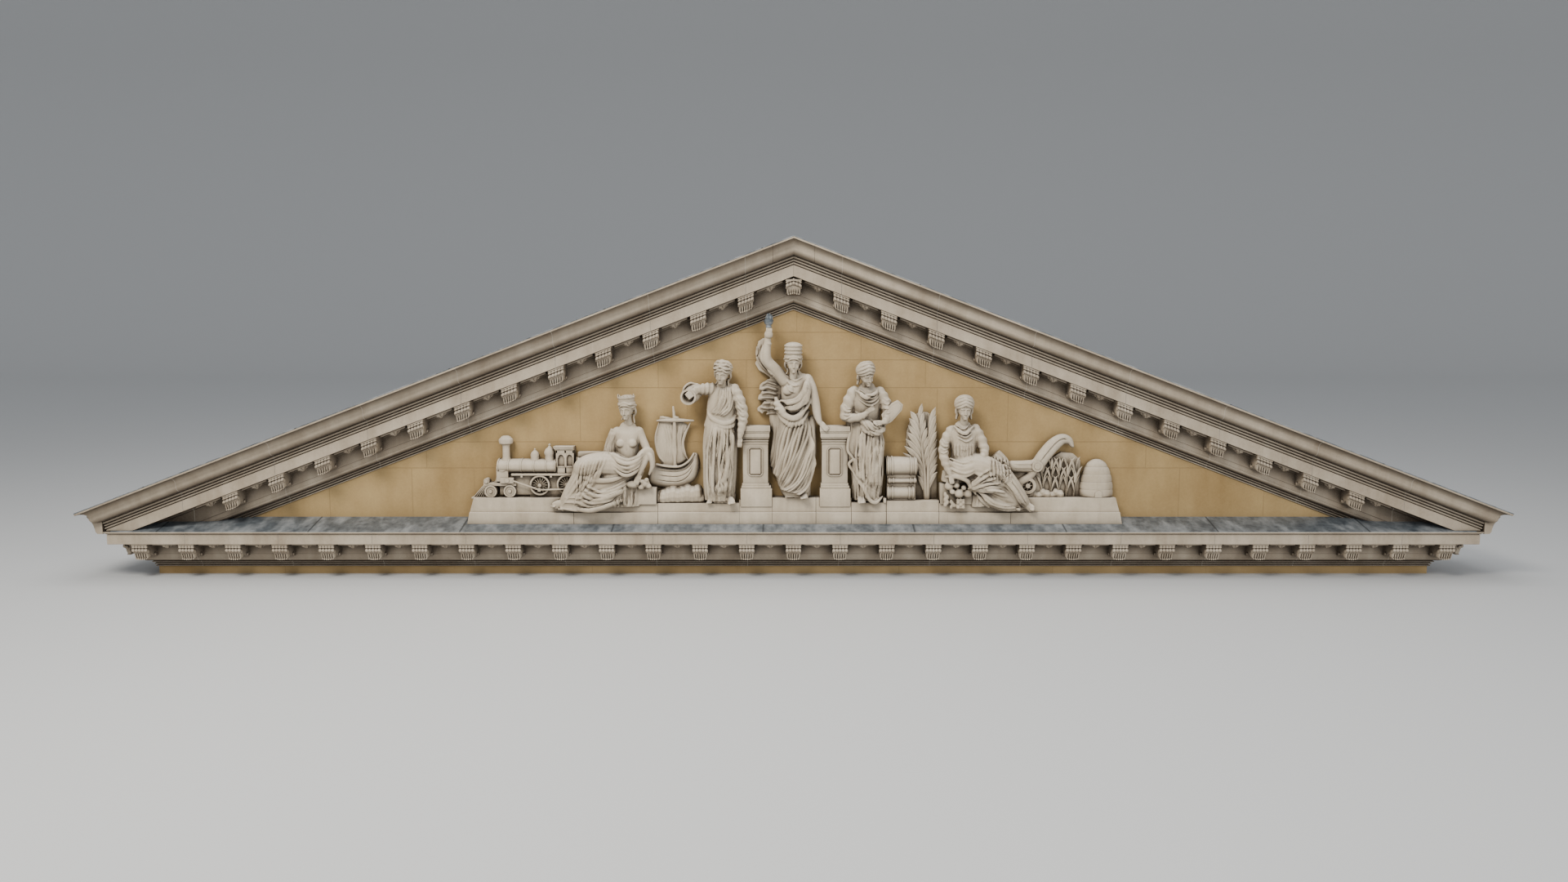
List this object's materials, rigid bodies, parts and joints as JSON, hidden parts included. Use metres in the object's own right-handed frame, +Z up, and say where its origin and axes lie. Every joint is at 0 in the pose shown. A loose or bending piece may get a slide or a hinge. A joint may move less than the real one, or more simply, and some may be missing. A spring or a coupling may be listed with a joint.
{
  "type": "pediment",
  "caption": "Stone gable pediment with modillion cornices, an ashlar tympanum and a carved group of standing and seated figures with emblems of trade, science and farming.",
  "frame": {"origin": "middle of the flat underside of the frieze course, halfway between the front of the tympanum and the back plane", "axes": "+X to the viewer's right along the cornice, +Y into the building, +Z up"},
  "size_m": [19.588, 1.604, 4.7219],
  "materials": {
    "ochre_sandstone": "fine sawn face, golden ochre, dry and matt",
    "cornice_sandstone": "weathered grey-brown, paler on the top edges, matt",
    "carved_stone": "carved pale warm grey, matt, darker in the hollows",
    "lead": "dull blue-grey sheet lead with paler streaks"
  },
  "bodies": {
    "root": {"frieze_course": "ochre_sandstone", "bed_mould_horizontal": "cornice_sandstone", "modillion_course_horizontal": "cornice_sandstone", "corona_stone_01": "cornice_sandstone", "corona_stone_02": "cornice_sandstone", "corona_stone_03": "cornice_sandstone", "corona_stone_04": "cornice_sandstone", "corona_stone_05": "cornice_sandstone", "corona_stone_06": "cornice_sandstone", "corona_stone_07": "cornice_sandstone", "corona_stone_08": "cornice_sandstone", "corona_stone_09": "cornice_sandstone", "corona_stone_10": "cornice_sandstone", "corona_stone_11": "cornice_sandstone", "corona_stone_12": "cornice_sandstone", "corona_stone_13": "cornice_sandstone", "corona_stone_14": "cornice_sandstone", "corona_stone_15": "cornice_sandstone", "lead_flashing": "lead", "tympanum_course_1": "ochre_sandstone", "tympanum_course_2": "ochre_sandstone", "tympanum_course_3": "ochre_sandstone", "tympanum_course_4": "ochre_sandstone", "tympanum_course_5": "ochre_sandstone", "tympanum_course_6": "ochre_sandstone", "bed_mould_left": "cornice_sandstone", "bed_mould_right": "cornice_sandstone", "modillion_course_left": "cornice_sandstone", "modillion_course_right": "cornice_sandstone", "rake_corona_left_1": "cornice_sandstone", "rake_corona_left_2": "cornice_sandstone", "rake_corona_left_3": "cornice_sandstone", "rake_corona_left_4": "cornice_sandstone", "rake_corona_left_5": "cornice_sandstone", "rake_corona_left_6": "cornice_sandstone", "rake_corona_left_7": "cornice_sandstone", "rake_corona_left_8": "cornice_sandstone", "rake_corona_right_1": "cornice_sandstone", "rake_corona_right_2": "cornice_sandstone", "rake_corona_right_3": "cornice_sandstone", "rake_corona_right_4": "cornice_sandstone", "rake_corona_right_5": "cornice_sandstone", "rake_corona_right_6": "cornice_sandstone", "rake_corona_right_7": "cornice_sandstone", "rake_corona_right_8": "cornice_sandstone", "cyma_left": "cornice_sandstone", "cyma_apex_stone": "cornice_sandstone", "cyma_right": "cornice_sandstone", "lead_capping_left": "lead", "lead_capping_right": "lead", "locomotive_block": "carved_stone", "trade_figure_block": "carved_stone", "ship_and_vase_figure_block": "carved_stone", "left_pedestal_block": "carved_stone", "right_pedestal_block": "carved_stone", "torch_figure_block": "carved_stone", "writing_figure_block": "carved_stone", "books_and_palm_block": "carved_stone", "harvest_figure_block": "carved_stone", "plough_and_hive_block": "carved_stone"}
  },
  "joints": []
}
